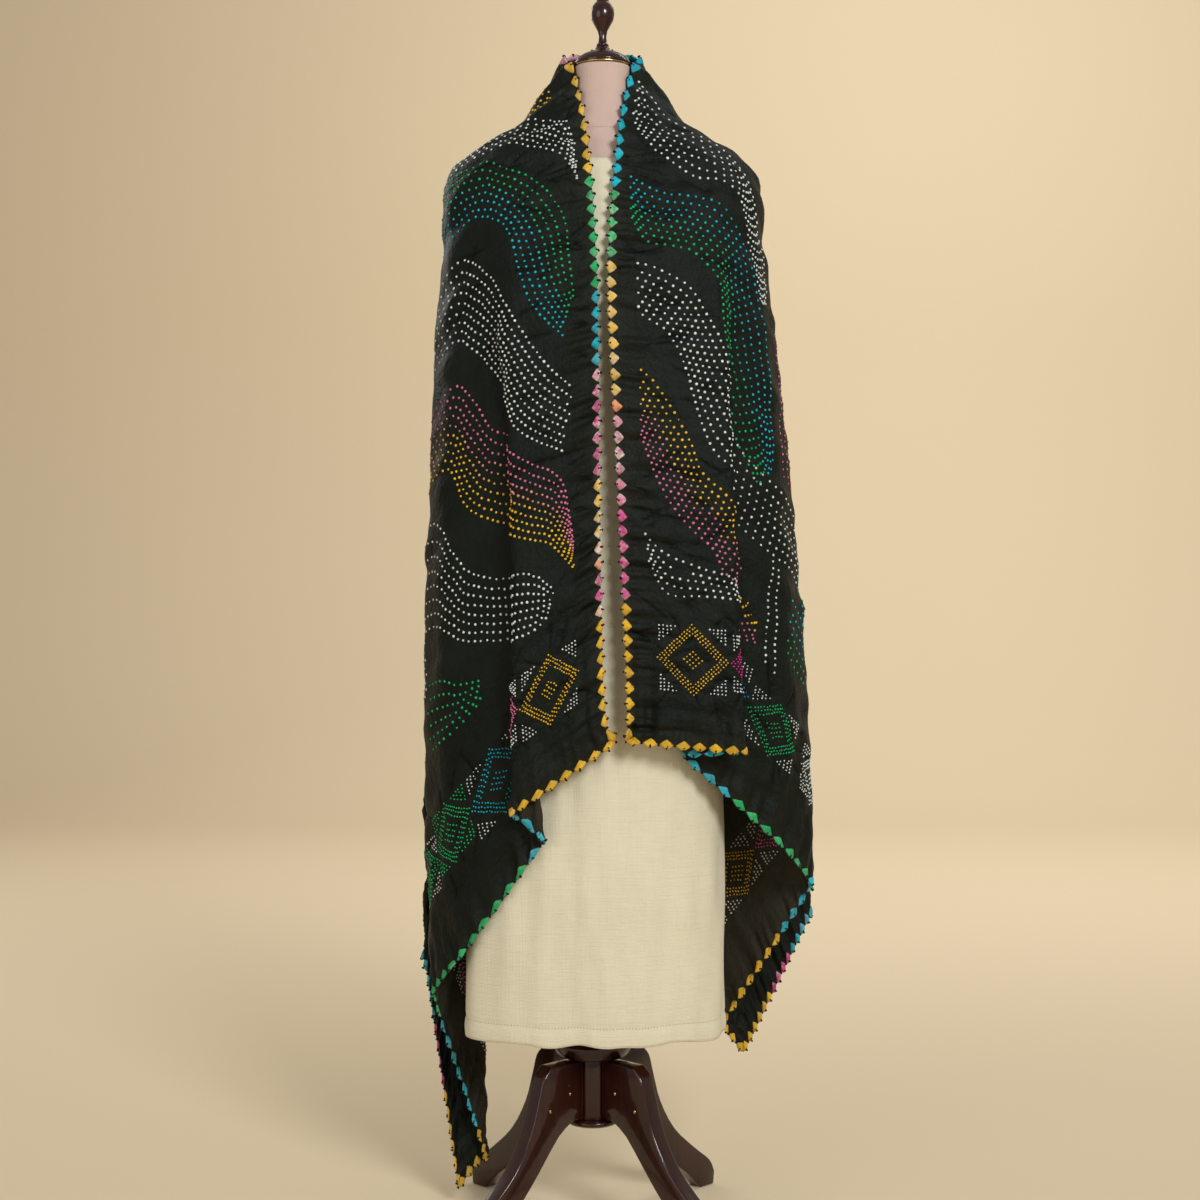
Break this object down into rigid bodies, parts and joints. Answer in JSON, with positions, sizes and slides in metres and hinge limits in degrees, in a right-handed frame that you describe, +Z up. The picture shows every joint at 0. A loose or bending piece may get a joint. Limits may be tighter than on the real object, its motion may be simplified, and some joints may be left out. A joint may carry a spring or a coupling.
{
  "type": "bandhani dupatta on a dress form with a slip and a wooden stand",
  "caption": "Dark silk bandhani dupatta draped as a shawl over a cream slip on a dress form, on a turned wood stand with shaped legs.",
  "frame": {"origin": "middle of the footprint of the whole model, on the floor", "axes": "+Z up, -Y the front that the two cloth edges meet at, +X to the viewer's right"},
  "size_m": [0.5382, 0.3684, 1.6314],
  "materials": {
    "bandhani_silk": "dark green-black silk with tie-dyed dots and a scalloped coloured edge",
    "cream_cotton": "matt cream slub cotton",
    "form_linen": "pale pink-beige close-woven cover",
    "mahogany": "dark red-brown wood under gloss varnish",
    "brass": "polished brass"
  },
  "bodies": {
    "root": {"bandhani_cloth": "bandhani_silk", "slip": "cream_cotton", "form": "form_linen", "neck_cap": "mahogany", "cap_rim": "brass", "finial": "mahogany", "pole": "mahogany", "collar": "mahogany", "hub": "mahogany", "base_disc": "mahogany", "leg_1": "mahogany", "leg_2": "mahogany", "leg_3": "mahogany", "leg_4": "mahogany"}
  },
  "joints": []
}
